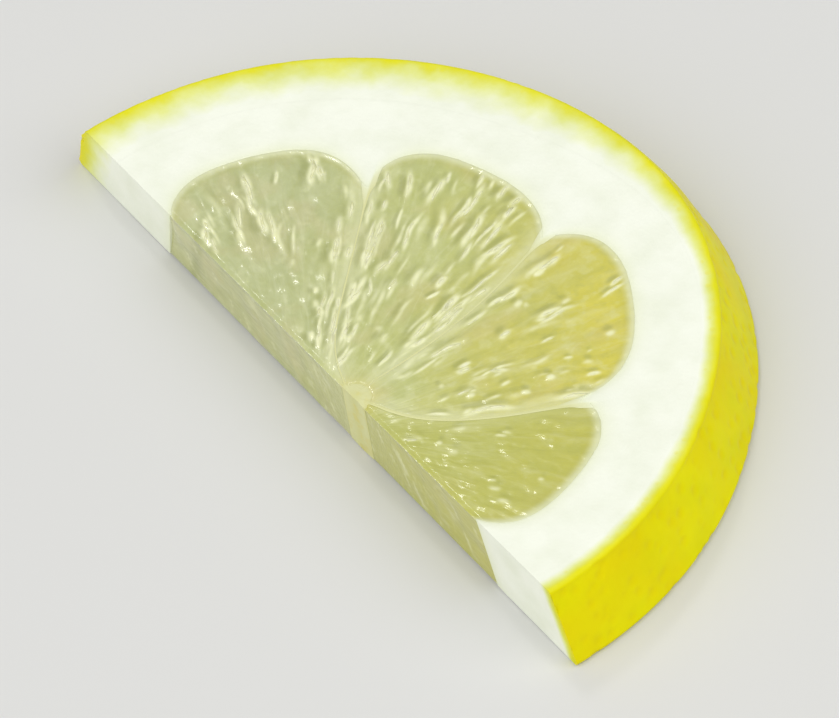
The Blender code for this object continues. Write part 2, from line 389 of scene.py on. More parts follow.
def add(tree, kind, sockets=None, stops=(), **settings):
    """Adds a node to a tree, with its settings, its ramp's stops, and the links or values of its sockets."""
    made = tree.nodes.new(kind)
    for name, value in settings.items():
        setattr(made, name, value)
    for number, (position, code) in enumerate(stops):
        if number == 0:
            made.color_ramp.elements.remove(made.color_ramp.elements[1])
            made.color_ramp.elements[0].position = position
        stop = made.color_ramp.elements[0] if number == 0 else made.color_ramp.elements.new(position)
        stop.color = linear(code)
    for key, value in (sockets or {}).items():
        if isinstance(value, bpy.types.NodeSocket):
            tree.links.new(value, made.inputs[key])
        else:
            made.inputs[key].default_value = value
    return made


def start_material(name):
    """A new material, with its tree, its surface shader, and the place on the piece that patterns follow."""
    material = bpy.data.materials.new(name)
    material.use_nodes = True
    tree = material.node_tree
    place = add(tree, "ShaderNodeTexCoord").outputs["Object"]
    return material, tree, tree.nodes["Principled BSDF"], place


# Albedo is a matt white sponge of loose cells, faintly clouded, with a trace of juice beside the flesh.
# The membranes are the same tissue pressed thin, so the flesh shows through them and they look creamy.
# A pattern's scale is the number of its sizes, in millimetres, that go into a metre.
CLOUD_SIZE = 3.03
CLOUD_COLOURS = ((0.30, "#F0F4E1"), (0.62, "#F8FBEC"))
STAIN_SIZE = 0.909
SPONGE_CELL = 0.3846  # drawn coarser than real ones, which wouldn't show
albedo, tree, shader, place = start_material("albedo_sponge")
clouds = add(tree, "ShaderNodeTexNoise", {"Vector": place, "Scale": 1000.0 / CLOUD_SIZE, "Detail": 3.0})
body = add(tree, "ShaderNodeValToRGB", {"Fac": clouds.outputs["Fac"]}, CLOUD_COLOURS).outputs["Color"]
damp = add(tree, "ShaderNodeAttribute", attribute_name="damp").outputs["Fac"]
damp = add(tree, "ShaderNodeMath", {0: damp, 1: 0.6}, operation="MULTIPLY").outputs[0]
skin = add(tree, "ShaderNodeAttribute", attribute_name="membrane").outputs["Fac"]
core = add(tree, "ShaderNodeAttribute", attribute_name="core").outputs["Fac"]
stained = add(tree, "ShaderNodeTexNoise", {"Vector": place, "Scale": 1000.0 / STAIN_SIZE, "Detail": 2.0})
stained = add(tree, "ShaderNodeMapRange", {"Value": stained.outputs["Fac"], "From Min": 0.50,
                                           "From Max": 0.62, "To Max": 0.45}).outputs[0]
stained = add(tree, "ShaderNodeMath", {0: stained, 1: core}, operation="MULTIPLY").outputs[0]
for amount, code in ((damp, "#E6EBBF"), (skin, "#DBDB9F"), (core, "#D6D593"), (stained, "#D8CC66")):
    body = add(tree, "ShaderNodeMix", {0: amount, 6: body, 7: linear(code)}, data_type="RGBA").outputs[2]
tree.links.new(body, shader.inputs["Base Color"])
cells = add(tree, "ShaderNodeTexVoronoi", {"Vector": place, "Scale": 1000.0 / SPONGE_CELL},
            feature="DISTANCE_TO_EDGE")
bump = add(tree, "ShaderNodeBump", {"Height": cells.outputs["Distance"], "Strength": 0.2, "Distance": 0.0001})
tree.links.new(bump.outputs["Normal"], shader.inputs["Normal"])
shader.inputs["Roughness"].default_value = 0.60

pith = make_piece("pith", pith_points, pith_faces, albedo, pith_values)
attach(pith, "root")
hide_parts("lemon_slice")

# Rind. The glossy yellow flavedo, about a millimetre deep, full of oil glands that dimple it and that the
# knife cut open along its edge. It is a closed band with rounded edges that fades into the white pith.
RIND_EDGE_ROUNDING = 0.35
GLAND_SPACING = 1.15
DIMPLE_DEPTH = 0.085
CUT_GLAND_SPACING = 0.80
CUT_GLAND_DEPTH = 0.025
SKIN_GLANDS_END = (0.05, 0.25)  # depths from the skin between which its dimples fade out
CUT_GLANDS_START = (0.15, 0.40)  # and between which the opened glands fade in
CUT_GLANDS_END = (0.80, 1.15)  # and out
RIND_RELIEF = 0.06
RIND_BUMP_SIZE = 3.5
RIND_WALL_STEPS = 38
RIND_FACE_ROWS = 24
RIND_EDGE_ROWS = 7
RIND_RAYS_READ_AT = 26.0  # the distance from the core at which the pith's rays give the rind's

rind_angles = [float(ray_side(ray, np.array([RIND_RAYS_READ_AT]), 0.0)[0][0]) for ray in pith_rays]
edge_turn = np.radians(np.linspace(0.0, 90.0, RIND_EDGE_ROWS))[1:]
down = np.concatenate([np.zeros(RIND_FACE_ROWS), RIND_EDGE_ROUNDING * (1.0 - np.cos(edge_turn))])


def rind_depths(angle):
    """How far each row of a level face lies from the skin, in plan and along the rounded edge."""
    face = np.linspace(ring_width(angle), RIND_EDGE_ROUNDING, RIND_FACE_ROWS)
    in_plan = RIND_EDGE_ROUNDING * (1.0 - np.sin(edge_turn))
    along_edge = np.linspace(RIND_EDGE_ROUNDING, 0.0, RIND_EDGE_ROWS)[1:]
    return np.concatenate([face, in_plan]), np.concatenate([face, along_edge])


def rind_face(upper):
    """The band's points on one level face, ray by ray, from its inner side over the rounded edge."""
    rays = []
    for angle in rind_angles:
        inward = rind_depths(angle)[0]
        radius = from_core(angle, slice_radius(angle, THICKNESS if upper else 0.0) - inward)
        x = CORE_X + radius * math.cos(angle)
        y = radius * (math.sin(angle) if 0.0 < angle < math.pi else 0.0)
        rays.append(np.stack([x, y, thickness_at(x) - down if upper else down], axis=1))
    return np.array(rays)


rind_points, rind_faces, rind_walls = closed_grid(rind_face(True), rind_face(False), RIND_WALL_STEPS)
depth_rows = np.array([rind_depths(angle)[1] for angle in rind_angles])
ring_widths = ring_width(np.array(rind_angles))[:, None]
# where the ring is narrow, its yellow holds on longer and then ends more abruptly
share_rows = (depth_rows / ring_widths) ** (1.0 + 0.7 * smooth((3.4 - ring_widths) / 2.0))
rind_depth = spread_values(depth_rows, depth_rows, len(rind_points), rind_walls)
rind_share = spread_values(share_rows, share_rows, len(rind_points), rind_walls)

# the fruit's own curve, and its slow swells, on the rows that run down the skin
skin_rows = rind_walls[rind_depth[rind_walls[:, 0]] < 1e-9][:, 1:-1]
bulge = np.sin(np.pi * np.arange(1, RIND_WALL_STEPS) / RIND_WALL_STEPS)
straight = rind_points[skin_rows]
angle = np.arctan2(straight[..., 1], straight[..., 0] - CORE_X)
swell = RIND_RELIEF * bulge * waves(31.0 * angle, straight[..., 2], RIND_BUMP_SIZE, 12)
radius = from_core(angle, slice_radius(angle, straight[..., 2])) + swell
curved = np.stack([CORE_X + radius * np.cos(angle), radius * np.sin(angle), straight[..., 2]], axis=-1)
rind_points[skin_rows] = straight + (curved - straight) * np.minimum(2.0 * bulge, 1.0)[None, :, None]

# Flavedo is waxy skin over oil glands: a soft gloss broken by fine dimples, richer yellow in each. Where
# the knife went through it, the yellow fades inwards to white, and the open glands are clearer spots.
FADE_SIZE = 1.923  # of the waves in the yellow's inner border
RIPENESS_SIZE = 5.88
SKIN_GRAIN = 0.5  # drawn coarser than real pores, which wouldn't show
FADE_COLOURS = (
    (0.01, "#F2E900"), (0.06, "#EFE82C"), (0.14, "#ECE95C"), (0.24, "#EEEE84"),
    (0.36, "#F1F3A2"), (0.50, "#F6F8CA"), (0.66, "#FBFCE8"), (0.86, "#FFFFFF"),
)
flavedo, tree, shader, place = start_material("flavedo_skin")
depth = add(tree, "ShaderNodeAttribute", attribute_name="skin_depth").outputs["Fac"]
soft = add(tree, "ShaderNodeTexNoise", {"Vector": place, "Scale": 1000.0 / FADE_SIZE, "Detail": 4.0})
uneven = add(tree, "ShaderNodeMapRange", {"Value": soft.outputs["Fac"], "From Min": 0.3, "From Max": 0.7,
                                          "To Min": -0.11, "To Max": 0.11}).outputs[0]
beyond = add(tree, "ShaderNodeMapRange", {"Value": depth, "From Min": 0.1, "From Max": 0.7}).outputs[0]
uneven = add(tree, "ShaderNodeMath", {0: uneven, 1: beyond}, operation="MULTIPLY").outputs[0]
deep = add(tree, "ShaderNodeAttribute", attribute_name="ring_share").outputs["Fac"]
deep = add(tree, "ShaderNodeMath", {0: deep, 1: uneven}, operation="ADD").outputs[0]
fade = add(tree, "ShaderNodeValToRGB", {"Fac": deep}, FADE_COLOURS).outputs["Color"]
clouds = add(tree, "ShaderNodeTexNoise", {"Vector": place, "Scale": 1000.0 / CLOUD_SIZE, "Detail": 3.0})
white = add(tree, "ShaderNodeValToRGB", {"Fac": clouds.outputs["Fac"]}, CLOUD_COLOURS).outputs["Color"]
body = add(tree, "ShaderNodeMix", {0: 1.0, 6: fade, 7: white}, data_type="RGBA", blend_type="MULTIPLY")
body = body.outputs[2]
glands = add(tree, "ShaderNodeTexVoronoi", {"Vector": place, "Scale": 1000.0 / GLAND_SPACING,
                                            "Randomness": 0.8}).outputs["Distance"]
pit = add(tree, "ShaderNodeMapRange", {"Value": glands, "From Min": 0.10, "From Max": 0.50, "To Min": 0.30,
                                       "To Max": 0.0}, interpolation_type="SMOOTHSTEP").outputs[0]
start, stop = SKIN_GLANDS_END
on_skin = add(tree, "ShaderNodeMapRange", {"Value": depth, "From Min": start, "From Max": stop,
                                           "To Min": 1.0, "To Max": 0.0}).outputs[0]
pit = add(tree, "ShaderNodeMath", {0: pit, 1: on_skin}, operation="MULTIPLY").outputs[0]
ripe = add(tree, "ShaderNodeTexNoise", {"Vector": place, "Scale": 1000.0 / RIPENESS_SIZE, "Detail": 3.0})
ripe = add(tree, "ShaderNodeMapRange", {"Value": ripe.outputs["Fac"], "From Min": 0.40, "From Max": 0.66,
                                        "To Max": 0.55}).outputs[0]
ripe = add(tree, "ShaderNodeMath", {0: ripe, 1: on_skin}, operation="MULTIPLY").outputs[0]
opened = add(tree, "ShaderNodeTexVoronoi", {"Vector": place, "Scale": 1000.0 / CUT_GLAND_SPACING,
                                            "Randomness": 0.9}).outputs["Distance"]
opened = add(tree, "ShaderNodeMapRange", {"Value": opened, "From Min": 0.14, "From Max": 0.34, "To Min": 0.32,
                                          "To Max": 0.0}, interpolation_type="SMOOTHSTEP").outputs[0]
for (start, stop), first, last in ((CUT_GLANDS_START, 0.0, 1.0), (CUT_GLANDS_END, 1.0, 0.0)):
    kept = add(tree, "ShaderNodeMapRange", {"Value": depth, "From Min": start, "From Max": stop,
                                            "To Min": first, "To Max": last}).outputs[0]
    opened = add(tree, "ShaderNodeMath", {0: opened, 1: kept}, operation="MULTIPLY").outputs[0]
for amount, code in ((ripe, "#E6CE00"), (pit, "#E2CC00"), (opened, "#E8E03C")):
    body = add(tree, "ShaderNodeMix", {0: amount, 6: body, 7: linear(code)}, data_type="RGBA").outputs[2]
tree.links.new(body, shader.inputs["Base Color"])
grain = add(tree, "ShaderNodeTexNoise", {"Vector": place, "Scale": 1000.0 / SKIN_GRAIN, "Detail": 2.0})
bump = add(tree, "ShaderNodeBump", {"Height": grain.outputs["Fac"], "Strength": 0.25, "Distance": 0.0001})
tree.links.new(bump.outputs["Normal"], shader.inputs["Normal"])
dull = add(tree, "ShaderNodeMapRange", {"Value": depth, "From Min": 0.1, "From Max": 0.6, "To Min": 0.38,
                                        "To Max": 0.60}).outputs[0]
tree.links.new(dull, shader.inputs["Roughness"])
shader.inputs["Specular IOR Level"].default_value = 0.08

rind_plain = make_piece("rind_plain", rind_points, rind_faces, flavedo,
                        {"skin_depth": rind_depth, "ring_share": rind_share}, 50.0)


def piece_from_nodes(source, tree, inputs, name):
    """Runs a Geometry Nodes tree on an object, which goes, and returns the result as a plain piece."""
    modifier = source.modifiers.new(name, "NODES")
    modifier.node_group = tree
    for identifier, number in inputs.items():
        modifier[identifier] = number
    evaluated = source.evaluated_get(bpy.context.evaluated_depsgraph_get())
    piece = bpy.data.objects.new(name, bpy.data.meshes.new_from_object(evaluated))
    bpy.data.objects.remove(source)
    bpy.context.scene.collection.objects.link(piece)
    return piece


# Geometry Nodes press the oil glands' dimples into the skin, and hollow the glands that the knife opened.
press_glands = bpy.data.node_groups.new("press oil glands", "GeometryNodeTree")
press_glands.interface.new_socket("Rind", in_out="INPUT", socket_type="NodeSocketGeometry")
gland_inputs = {}
for label, number in (("Gland Spacing", GLAND_SPACING), ("Dimple Depth", DIMPLE_DEPTH),
                      ("Cut Gland Spacing", CUT_GLAND_SPACING), ("Cut Gland Depth", CUT_GLAND_DEPTH)):
    socket = press_glands.interface.new_socket(label, in_out="INPUT", socket_type="NodeSocketFloat")
    gland_inputs[socket.identifier] = number * 0.001
press_glands.interface.new_socket("Rind", in_out="OUTPUT", socket_type="NodeSocketGeometry")
given = add(press_glands, "NodeGroupInput").outputs
where = add(press_glands, "GeometryNodeInputPosition").outputs[0]
skin = add(press_glands, "GeometryNodeInputNamedAttribute", {"Name": "skin_depth"}, data_type="FLOAT")
skin = skin.outputs[0]
pushes = []
for spacing, sink, random, near, far, limits in (
    ("Gland Spacing", "Dimple Depth", 0.8, 0.10, 0.48, ((SKIN_GLANDS_END, 1.0, 0.0),)),
    ("Cut Gland Spacing", "Cut Gland Depth", 0.9, 0.12, 0.36,
     ((CUT_GLANDS_START, 0.0, 1.0), (CUT_GLANDS_END, 1.0, 0.0))),
):
    scale = add(press_glands, "ShaderNodeMath", {0: 1.0, 1: given[spacing]}, operation="DIVIDE").outputs[0]
    spots = add(press_glands, "ShaderNodeTexVoronoi", {"Vector": where, "Scale": scale, "Randomness": random})
    push = add(press_glands, "ShaderNodeMapRange",
               {"Value": spots.outputs["Distance"], "From Min": near, "From Max": far, "To Min": -1.0,
                "To Max": 0.0}, interpolation_type="SMOOTHSTEP").outputs[0]
    for (start, stop), first, last in limits:
        kept = add(press_glands, "ShaderNodeMapRange", {"Value": skin, "From Min": start, "From Max": stop,
                                                        "To Min": first, "To Max": last}).outputs[0]
        push = add(press_glands, "ShaderNodeMath", {0: push, 1: kept}, operation="MULTIPLY").outputs[0]
    push = add(press_glands, "ShaderNodeMath", {0: push, 1: given[sink]}, operation="MULTIPLY").outputs[0]
    pushes.append(push)
push = add(press_glands, "ShaderNodeMath", {0: pushes[0], 1: pushes[1]}, operation="ADD").outputs[0]
normal = add(press_glands, "GeometryNodeInputNormal").outputs[0]
shift = add(press_glands, "ShaderNodeVectorMath", {0: normal, "Scale": push}, operation="SCALE").outputs[0]
pressed = add(press_glands, "GeometryNodeSetPosition", {"Geometry": given["Rind"], "Offset": shift})
real = add(press_glands, "GeometryNodeRealizeInstances", {0: pressed.outputs[0]})
finished = add(press_glands, "GeometryNodeSetMaterial", {"Geometry": real.outputs[0], "Material": flavedo})
add(press_glands, "NodeGroupOutput", {0: finished.outputs[0]})
rind = piece_from_nodes(rind_plain, press_glands, gland_inputs, "rind")
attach(rind, "root")

# Segments. Four wedges of flesh between the membranes, each packed with long juice sacs that hang from
# the pith and point at the core. The knife opened some sacs and left the wet film that catches the light.
FLESH_DROP = 0.10
BORDER_DROP = 0.070
BORDER_DIP = 0.035
BORDER_RISE = 0.5
UNDER_PITH = 0.10  # how far the flesh's edge runs under the pith and the membranes
INSIDE_CUT = 0.02  # how far it keeps back from the upright cut
CUT_ROUNDING = 0.10
CUT_ROUNDING_WIDTH = 0.40
CUT_WALL_HOLLOW = 0.10
CUT_WALL_MARKS = 0.35
SAC_BULGE = 0.055
SAC_UNEVENNESS = 0.04
SAC_WIDTH = 1.5
SAC_LENGTH = 6.8
SAC_RINGS = (0.13, 0.31, 0.50, 0.68, 0.87)  # where the sacs' middles lie, as shares of the way to the pith
SAC_FULLNESS = (0.35, 0.75, 0.9, 1.0)  # how high they stand in each segment
SAC_WALL_FADE = 0.55
LUMPS = ((0.9, 0.014, 31), (0.36, 0.008, 41))  # sizes and heights of the wet film's relief, with seeds
SEGMENT_RAYS = 200
SEGMENT_ROWS = 140
SEGMENT_WALLS = 14
MARKS = (14, 58, 106, 48)  # torn sac walls on each segment's upper face
MARKS_ANYWHERE = (0.20, 0.42, 0.50, 0.16)  # how readily they lie away from the pith and the membranes
MARKS_AT_PITH = 0.65  # how much more readily near the pith, on the third and fourth segments
MARKS_AT_MEMBRANES = 0.75  # and beside the two membranes that carry most of them
BESIDE_MEMBRANE = 1.6
LONG_MARK = (0.65, 1.6)  # half its length is a number from here to there, to the power 1.5
SHORT_MARK = (0.22, 0.60)  # half its length
MARK_HALF_WIDTH = (0.1089, 0.2704)
MARK_BRIGHTNESS = (0.45, 1.15)
SHORT_MARKS_DIMMED = (0.62, 0.85, 0.85, 0.85)
MARK_RISE = 0.045
GAP_DEPTH = 0.012
FAN_PLACE = (6.5, -4.0)  # the sacs aim at this place, a little beyond the upright cut
SLIVER_BRIGHTNESS = 0.70  # only marks that are brighter and longer than this stand up as slivers
SLIVER_HALF_LENGTH = 0.5


def lay_sacs(k, seed):
    """Centres, directions and sizes of the sacs cut open on one face of a segment."""
    rng = np.random.default_rng(seed)
    middle = math.radians(0.5 * (max(MEMBRANE_DEGREES[k], 0.0) + min(MEMBRANE_DEGREES[k + 1], 180.0)))
    found = []
    for level, share in enumerate(SAC_RINGS):
        reach_there = float(flesh_end(middle, k, THICKNESS)) * share
        low, high = float(membrane_angle(k, reach_there)), float(membrane_angle(k + 1, reach_there))
        number = max(2, round((high - low) * reach_there / (SAC_WIDTH * (1.0 if share < 0.8 else 0.8))))
        for i in range(-1, number + 1):
            angle = low + (high - low) * (i + 0.5 + 0.5 * (level % 2) + rng.uniform(-0.3, 0.3)) / number
            radius = reach_there + rng.uniform(-1.4, 1.4)
            x, y = CORE_X + radius * math.cos(angle), radius * math.sin(angle)
            found.append((
                x, y, math.atan2(y - FAN_PLACE[1], x - FAN_PLACE[0]) + rng.normal(0.0, 0.09),
                SAC_LENGTH / 2.0 * rng.uniform(0.75, 1.3), SAC_WIDTH / 2.0 * rng.uniform(0.8, 1.25),
                rng.uniform(),
            ))
    return np.array(found)


def sac_field(x, y, sacs):
    """At each point: how far the nearest sac wall is, the sac's own tone, and the place across the sac."""
    x, y = x + 0.30 * waves(x, y, 2.3, 21), y + 0.30 * waves(x, y, 2.3, 22)
    best, second = np.full(x.shape, 99.0), np.full(x.shape, 99.0)
    owner, side = np.zeros(x.shape, int), np.zeros(x.shape)
    for number, (cx, cy, lean, half_long, half_wide, _) in enumerate(sacs):
        along = (x - cx) * math.cos(lean) + (y - cy) * math.sin(lean)
        across = -(x - cx) * math.sin(lean) + (y - cy) * math.cos(lean)
        far = np.sqrt((along / half_long) ** 2 + (across / half_wide) ** 2)
        nearer = far < best
        second = np.where(nearer, best, np.minimum(second, far))
        owner = np.where(nearer, number, owner)
        side = np.where(nearer, across / half_wide, side)
        best = np.where(nearer, far, best)
    return (second - best) * sacs[owner, 4] / 2.0, sacs[owner, 5], np.clip(side, -1.5, 1.5)


def lay_marks(k, upper):
    """Torn sac walls: where each is, its direction, half its length and width, and how bright it is.

    Most lie near the pith, where the sacs' stalks are, and beside the two middle membranes.
    """
    rng = np.random.default_rng(300 + 10 * k + upper)
    first, last = np.radians(np.clip(MEMBRANE_DEGREES[k:k + 2], 0.0, 180.0))
    marks = []
    while len(marks) < (MARKS[k] if upper else MARKS[k] // 2):
        share = rng.uniform(0.16, 0.965)
        across = rng.uniform(0.03, 0.97)
        end = float(flesh_end(first + (last - first) * across, k, THICKNESS))
        radius = end * share
        low, high = float(membrane_angle(k, radius)), float(membrane_angle(k + 1, radius))
        angle = low + (high - low) * across
        beside = min(abs(angle - float(membrane_angle(n, radius))) for n in (2, 3)) * radius
        chance = MARKS_ANYWHERE[k] + MARKS_AT_PITH * (share > 0.66) * (k > 1)
        chance += MARKS_AT_MEMBRANES * math.exp(-(beside / BESIDE_MEMBRANE) ** 2)
        chance *= 0.35 + 0.65 * float(smooth((radius - 3.0) / 4.0))  # they are rare close to the core
        if rng.uniform() > chance or radius * math.sin(angle) < 0.8:
            continue
        long = (share > 0.62 and k > 1) or (share > 0.35 and k == 2)
        long = long or (beside < BESIDE_MEMBRANE and k > 0) or (k == 1 and rng.uniform() < 0.35)
        half = rng.uniform(*LONG_MARK) ** 1.5 if long else rng.uniform(*SHORT_MARK)
        half = min(half, max(end - 0.25 - radius, 0.25))
        x, y = CORE_X + radius * math.cos(angle), radius * math.sin(angle)
        lean = math.atan2(y - FAN_PLACE[1], x - FAN_PLACE[0]) + rng.normal(0.0, 0.13)
        wide = rng.uniform(*np.sqrt(MARK_HALF_WIDTH)) ** 2
        bright = rng.uniform(*MARK_BRIGHTNESS) * (1.0 if long else SHORT_MARKS_DIMMED[k])
        marks.append((x, y, lean, half, wide, bright, rng.normal(0.0, 0.05)))
    return marks


def mark_field(x, y, marks):
    """How much of a pale mark, and of the sunken gap along its side with painted shade in it, each point has.
    """
    pale, gap_shade = np.zeros(x.shape), np.zeros(x.shape)
    for cx, cy, lean, half, wide, bright, bend in marks:
        along = (x - cx) * math.cos(lean) + (y - cy) * math.sin(lean)
        across = -(x - cx) * math.sin(lean) + (y - cy) * math.cos(lean) + bend * along * along
        across = across + 0.06 * np.sin(2.2 * along + 60.0 * bend)
        taper = bright * np.exp(-np.abs(along / half) ** 2.6)
        pale = np.maximum(pale, taper * np.exp(-(across / (1.25 * wide)) ** 2))
        gap_shade = np.maximum(gap_shade, taper * np.exp(-((across - 2.5 * wide) / (1.7 * wide)) ** 2))
    beads = 0.80 + 0.25 * waves(x, y, 0.55, 71)
    return pale * beads, gap_shade * (1.0 - pale)


def flesh_level(k, upper, x, y, border, sacs, marks):
    """How far the flesh lies below the level of the pith, and the values that its material reads."""
    wall, tone, side = sac_field(x, y, sacs)
    wall = np.minimum(wall, 1.2 * border + 0.03)
    pale, gap_shade = mark_field(x, y, marks)
    full = (0.65 + 0.45 * waves(x, y, 3.6, 51 + k)) * SAC_FULLNESS[k]  # some stand full, others lie flat
    relief = (SAC_BULGE * full + SAC_UNEVENNESS * (tone - 0.5)) * smooth(wall / 0.50)
    relief = relief + sum(deep * waves(x, y, size, seed + k) for size, deep, seed in LUMPS)
    relief = relief + MARK_RISE * pale - GAP_DEPTH * gap_shade
    drop = BORDER_DROP + (FLESH_DROP - BORDER_DROP - relief) * smooth((border - UNDER_PITH) / BORDER_RISE)
    # its very edge dips under the pith and the membranes, and it rounds over the upright cut
    drop = drop + BORDER_DIP * smooth(1.0 - border / UNDER_PITH)
    drop = drop + CUT_ROUNDING * smooth(1.0 - y / CUT_ROUNDING_WIDTH)
    # each sac's own tone, and the painted shade and painted light on its two sides, fade out towards its
    # walls, so that no hard outline shows
    within = smooth(wall / SAC_WALL_FADE)
    tone, side = 0.5 + (tone - 0.5) * within, side * within
    values = {"wall": wall / np.maximum(full, 0.25), "tone": tone, "side": side, "pale": pale, "gap_shade": gap_shade}
    return np.maximum(drop, 0.0), values


def segment_face(k, upper, sacs, marks):
    """The points of one level face of a segment, with the values that its material reads."""
    height = THICKNESS if upper else 0.0
    shares = np.linspace(0.0, 1.0, SEGMENT_RAYS)

    def sides(radius):
        low, high = membrane_angle(k, radius), membrane_angle(k + 1, radius)
        from_low = INSIDE_CUT if k == 0 else membrane_half(k, radius) - UNDER_PITH
        from_high = INSIDE_CUT if k == 3 else membrane_half(k + 1, radius) - UNDER_PITH
        return low + from_low / radius, high - from_high / radius

    end = np.full_like(shares, 18.0)  # a first guess, as for the pith's rays
    for _ in range(8):
        low, high = sides(end)
        end = flesh_end(low + (high - low) * shares, k, height) + UNDER_PITH
    start = FLESH_TIP - UNDER_PITH
    radius = start + (end[:, None] - start) * np.linspace(0.0, 1.0, SEGMENT_ROWS)[None, :]
    low, high = sides(radius)
    angle = low + (high - low) * shares[:, None]
    x = CORE_X + radius * np.cos(angle)
    y = radius * np.sin(angle)
    rib = np.full(x.shape, FAR)
    if k > 0:
        rib = np.minimum(rib, (angle - low) * radius)
    if k < 3:
        rib = np.minimum(rib, (high - angle) * radius)
    outer = end[:, None] - radius
    border = np.minimum(rib, np.minimum(outer, radius - start))
    drop, values = flesh_level(k, upper, x, y, border, sacs, marks)
    # juice pools amber in the corner between the second and third segments, and round the core
    corner, corner_far = membrane_end(2)
    amber = np.exp(-np.hypot(x - CORE_X - (corner_far - 0.6) * math.cos(corner - 0.10),
                             y - (corner_far - 0.6) * math.sin(corner - 0.10)) / 2.2)
    amber = np.maximum(0.6 * amber * (k == 1), 0.5 * np.exp(-(radius - start) / 1.4))
    values.update(outer=outer, rib=rib, amber=amber, shaded=np.full(x.shape, 1.0 if k == 0 else 0.0))
    return np.stack([x, y, thickness_at(x) - drop if upper else drop], axis=-1), values


# Juice sacs are thin clear skins full of pale juice: translucent, wet and smooth. Light that comes through
# from the table is greyer green at the thin left end and warmer towards the right. Torn walls are whiter.
HUE_COLOURS = ((0.0, "#BCC28C"), (0.38, "#C1C67E"), (0.72, "#CAC764"), (1.0, "#D7CE52"))
HUE_CLOUD_SIZE = 4.76
FIBRE_SIZE = 0.667  # along the fanned-out directions that the fibres follow
PATCH_SIZE = 3.03
MOTTLE_SIZE = 1.053
BLUSH_SIZE = 3.70
FILM_SIZE = 0.3846
juice, tree, shader, place = start_material("juice_sacs")
read = {
    name: add(tree, "ShaderNodeAttribute", attribute_name=name).outputs["Fac"]
    for name in ("wall", "tone", "side", "pale", "gap_shade", "outer", "rib", "amber", "shaded")
}
apart = add(tree, "ShaderNodeSeparateXYZ", {0: place}).outputs
slant = add(tree, "ShaderNodeMath", {0: apart["X"], 1: apart["Y"]}, operation="ADD").outputs[0]
clouds = add(tree, "ShaderNodeTexNoise", {"Vector": place, "Scale": 1000.0 / HUE_CLOUD_SIZE, "Detail": 4.0})
drifted = add(tree, "ShaderNodeMath", {0: clouds.outputs["Fac"], 1: 0.020, 2: slant},
              operation="MULTIPLY_ADD").outputs[0]
warm = add(tree, "ShaderNodeMapRange", {"Value": drifted, "From Min": -0.010, "From Max": 0.024}).outputs[0]
body = add(tree, "ShaderNodeValToRGB", {"Fac": warm}, HUE_COLOURS).outputs["Color"]

# fine fibres run from the core outwards: noise on the angle and the distance, stretched along the rays
fan_place = (PLAN_SHIFT[0] + 0.001 * FAN_PLACE[0], PLAN_SHIFT[1] + 0.001 * FAN_PLACE[1], 0.0)
outwards = add(tree, "ShaderNodeVectorMath", {0: place, 1: fan_place}, operation="SUBTRACT").outputs[0]
spread = add(tree, "ShaderNodeSeparateXYZ", {0: outwards}).outputs
bearing = add(tree, "ShaderNodeMath", {0: spread["Y"], 1: spread["X"]}, operation="ARCTAN2").outputs[0]
bearing = add(tree, "ShaderNodeMath", {0: bearing, 1: 0.012}, operation="MULTIPLY").outputs[0]
reach = add(tree, "ShaderNodeVectorMath", {0: outwards}, operation="LENGTH").outputs["Value"]
reach = add(tree, "ShaderNodeMath", {0: reach, 1: 0.2}, operation="MULTIPLY").outputs[0]
fanned = add(tree, "ShaderNodeCombineXYZ", {0: bearing, 1: reach, 2: spread["Z"]}).outputs[0]
fibres = add(tree, "ShaderNodeTexNoise", {"Vector": fanned, "Scale": 1000.0 / FIBRE_SIZE, "Detail": 4.0,
                                          "Distortion": 0.6}).outputs["Fac"]
patches = add(tree, "ShaderNodeTexNoise", {"Vector": place, "Scale": 1000.0 / PATCH_SIZE, "Detail": 2.0})
patches = add(tree, "ShaderNodeMapRange", {"Value": patches.outputs["Fac"], "From Min": 0.38,
                                           "From Max": 0.62}).outputs[0]
for name, size in (("mottle", MOTTLE_SIZE), ("blush", BLUSH_SIZE)):
    noise = add(tree, "ShaderNodeTexNoise", {"Vector": place, "Scale": 1000.0 / size, "Detail": 3.0})
    read[name] = noise.outputs["Fac"]
LAYERS = (
    # value, from, to, most, colour, and whether it comes and goes in patches; each covers those before it
    ("mottle", 0.52, 0.68, 0.22, "#E3E5B4", False),
    ("mottle", 0.46, 0.32, 0.20, "#ABAF60", False),
    ("blush", 0.50, 0.66, 0.20, "#D8C79A", False),
    ("tone", 0.55, 1.0, 0.20, "#E0E1AC", False),
    ("tone", 0.45, 0.0, 0.24, "#A9AF62", False),
    # painted shade on one side of each sac and painted light on the other, by the place across it
    ("side", -0.2, 1.1, 0.16, "#A0A658", False),
    ("side", 0.2, -1.1, 0.18, "#E4E5B4", False),
    ("wall", 0.20, 0.0, 0.12, "#E9EAC2", True),
    ("rib", 1.7, 0.0, 0.46, "#E4E6B8", False),
    ("shaded", 0.0, 1.0, 0.68, "#B8BA5C", False),
    # painted shade: the flesh is darker olive in a band near its edge at the pith
    ("outer", 1.5, 0.3, 0.34, "#B8B558", False),
    ("amber", 0.05, 1.0, 0.70, "#DAC94C", False),
    # painted shade in the sunken gap beside each pale mark
    ("gap_shade", 0.0, 1.0, 0.50, "#949A56", False),
    ("pale", 0.0, 0.8, 0.90, "#F7F8CA", False),
    ("outer", 0.95, 0.06, 0.78, "#E6EAC2", False),
)
for value, start, stop, most, code, in_patches in LAYERS:
    amount = add(tree, "ShaderNodeMapRange", {"Value": read[value], "From Min": start, "From Max": stop,
                                              "To Max": most}, interpolation_type="SMOOTHSTEP").outputs[0]
    if in_patches:
        amount = add(tree, "ShaderNodeMath", {0: amount, 1: patches}, operation="MULTIPLY").outputs[0]
    body = add(tree, "ShaderNodeMix", {0: amount, 6: body, 7: linear(code)}, data_type="RGBA").outputs[2]
